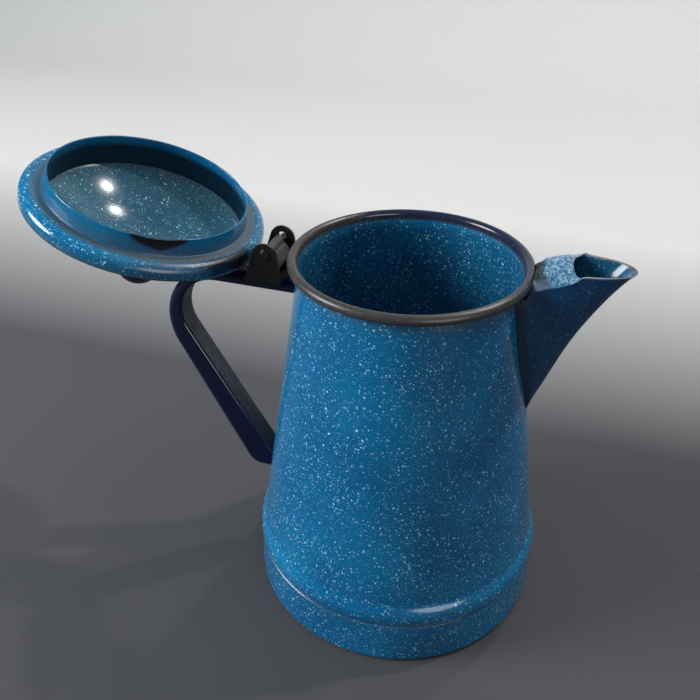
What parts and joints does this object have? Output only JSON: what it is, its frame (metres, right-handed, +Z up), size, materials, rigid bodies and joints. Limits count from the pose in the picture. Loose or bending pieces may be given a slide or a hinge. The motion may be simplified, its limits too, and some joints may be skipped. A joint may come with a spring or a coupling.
{
  "type": "coffee pot",
  "caption": "Tapered speckled enamel coffee pot with a folded spout, a hollow side handle and a hinged lid that lies open over the handle.",
  "frame": {"origin": "middle of the flat bottom, where the pot's axis meets the table", "axes": "+Z up the pot's axis, +X towards the spout, the handle and the hinge on the -X side"},
  "size_m": [0.2807, 0.1504, 0.2169],
  "materials": {
    "speckled_enamel": "gloss enamel with pale speckles",
    "pan_enamel": "gloss enamel with pale speckles",
    "spout_enamel": "gloss enamel, sparse speckles, worn lip",
    "handle_enamel": "dark navy gloss enamel",
    "strip_enamel": "worn grey enamel",
    "blackened_steel": "blackened, worn edges",
    "bare_steel": "bare, streaked",
    "lid_enamel": "gloss enamel with pale speckles",
    "collar_enamel": "gloss enamel, chipped and grimy at the seat",
    "knob_enamel": "dark navy gloss enamel"
  },
  "bodies": {
    "pot": {"body_wall": "speckled_enamel", "base_pan": "pan_enamel", "spout_shell": "spout_enamel", "handle_shell": "handle_enamel", "handle_strip": "strip_enamel", "hinge_bracket": "blackened_steel", "hinge_pin": "bare_steel"},
    "lid": {"lid_dome": "lid_enamel", "lid_collar": "collar_enamel", "lid_leaf": "bare_steel", "knob": "knob_enamel"}
  },
  "joints": [
    {"name": "lid_hinge", "type": "hinge", "parent": "pot", "child": "lid", "pos_m": [-0.0656, 0, 0.1798], "axis": [0, 1, 0], "range_deg": [0, 161.9]}
  ]
}
